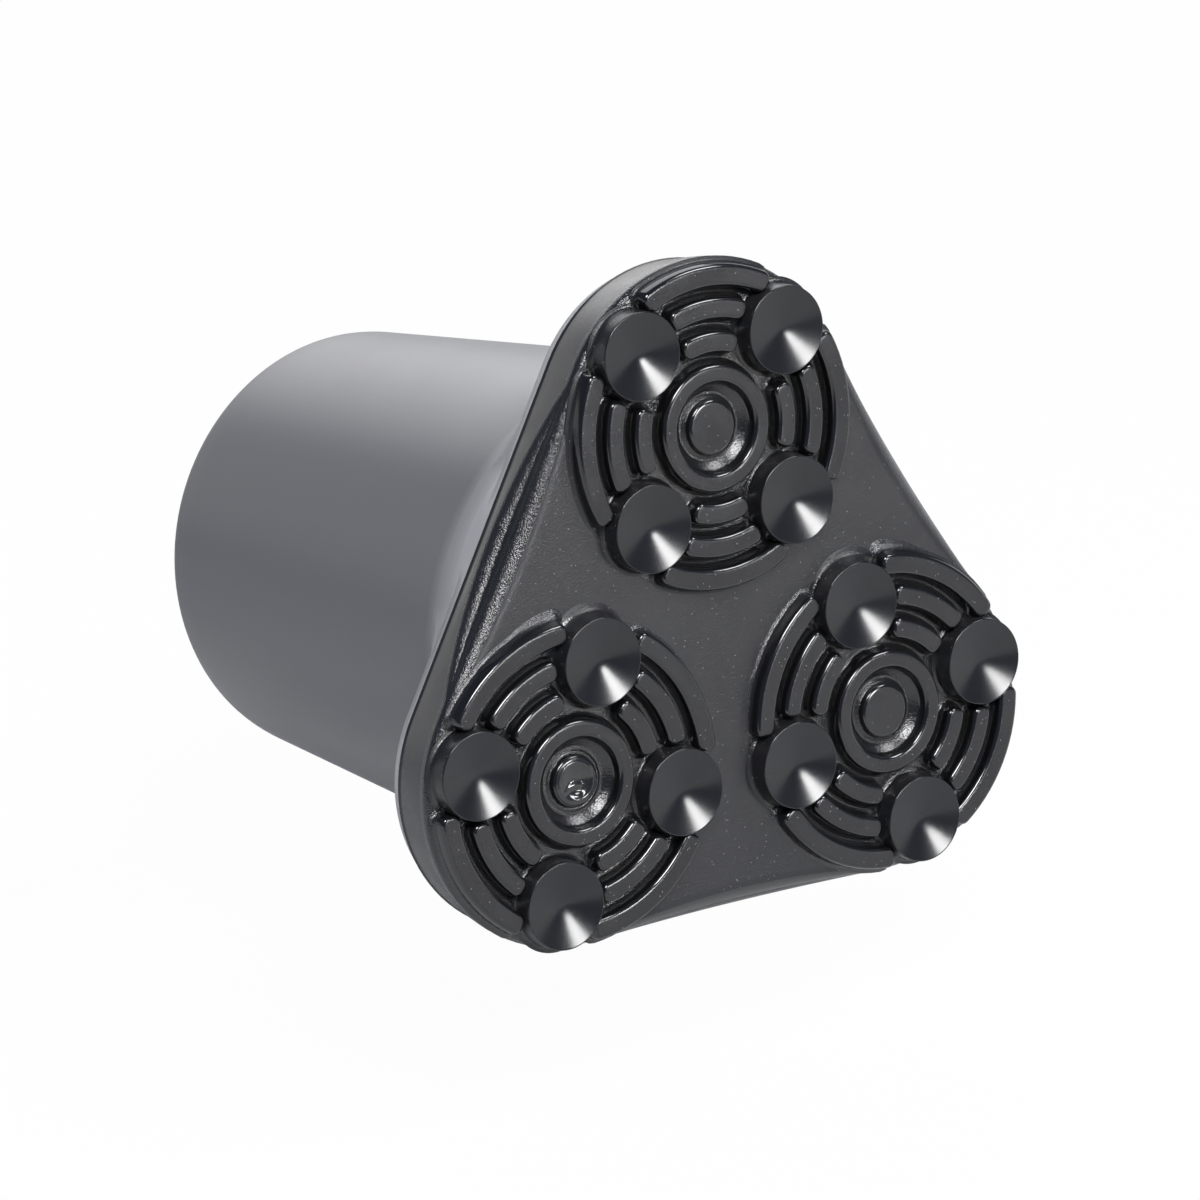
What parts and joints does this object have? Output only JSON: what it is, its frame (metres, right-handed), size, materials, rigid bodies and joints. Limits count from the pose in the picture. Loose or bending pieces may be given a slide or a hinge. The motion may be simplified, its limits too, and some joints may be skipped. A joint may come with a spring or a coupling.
{
  "type": "rubber cane tip",
  "caption": "Three-foot rubber cane tip: a tapered socket barrel on a rounded triangular base with ribbed round treads and cupped studs.",
  "frame": {"origin": "middle of the socket's seat, where the end of the shaft rests", "axes": "+Z along the socket, out of its mouth; the sole faces -Z and one foot points to -Y"},
  "size_m": [0.0526, 0.0488, 0.0537],
  "materials": {
    "black_rubber": "matte"
  },
  "bodies": {
    "root": {"cane_tip": "black_rubber"}
  },
  "joints": []
}
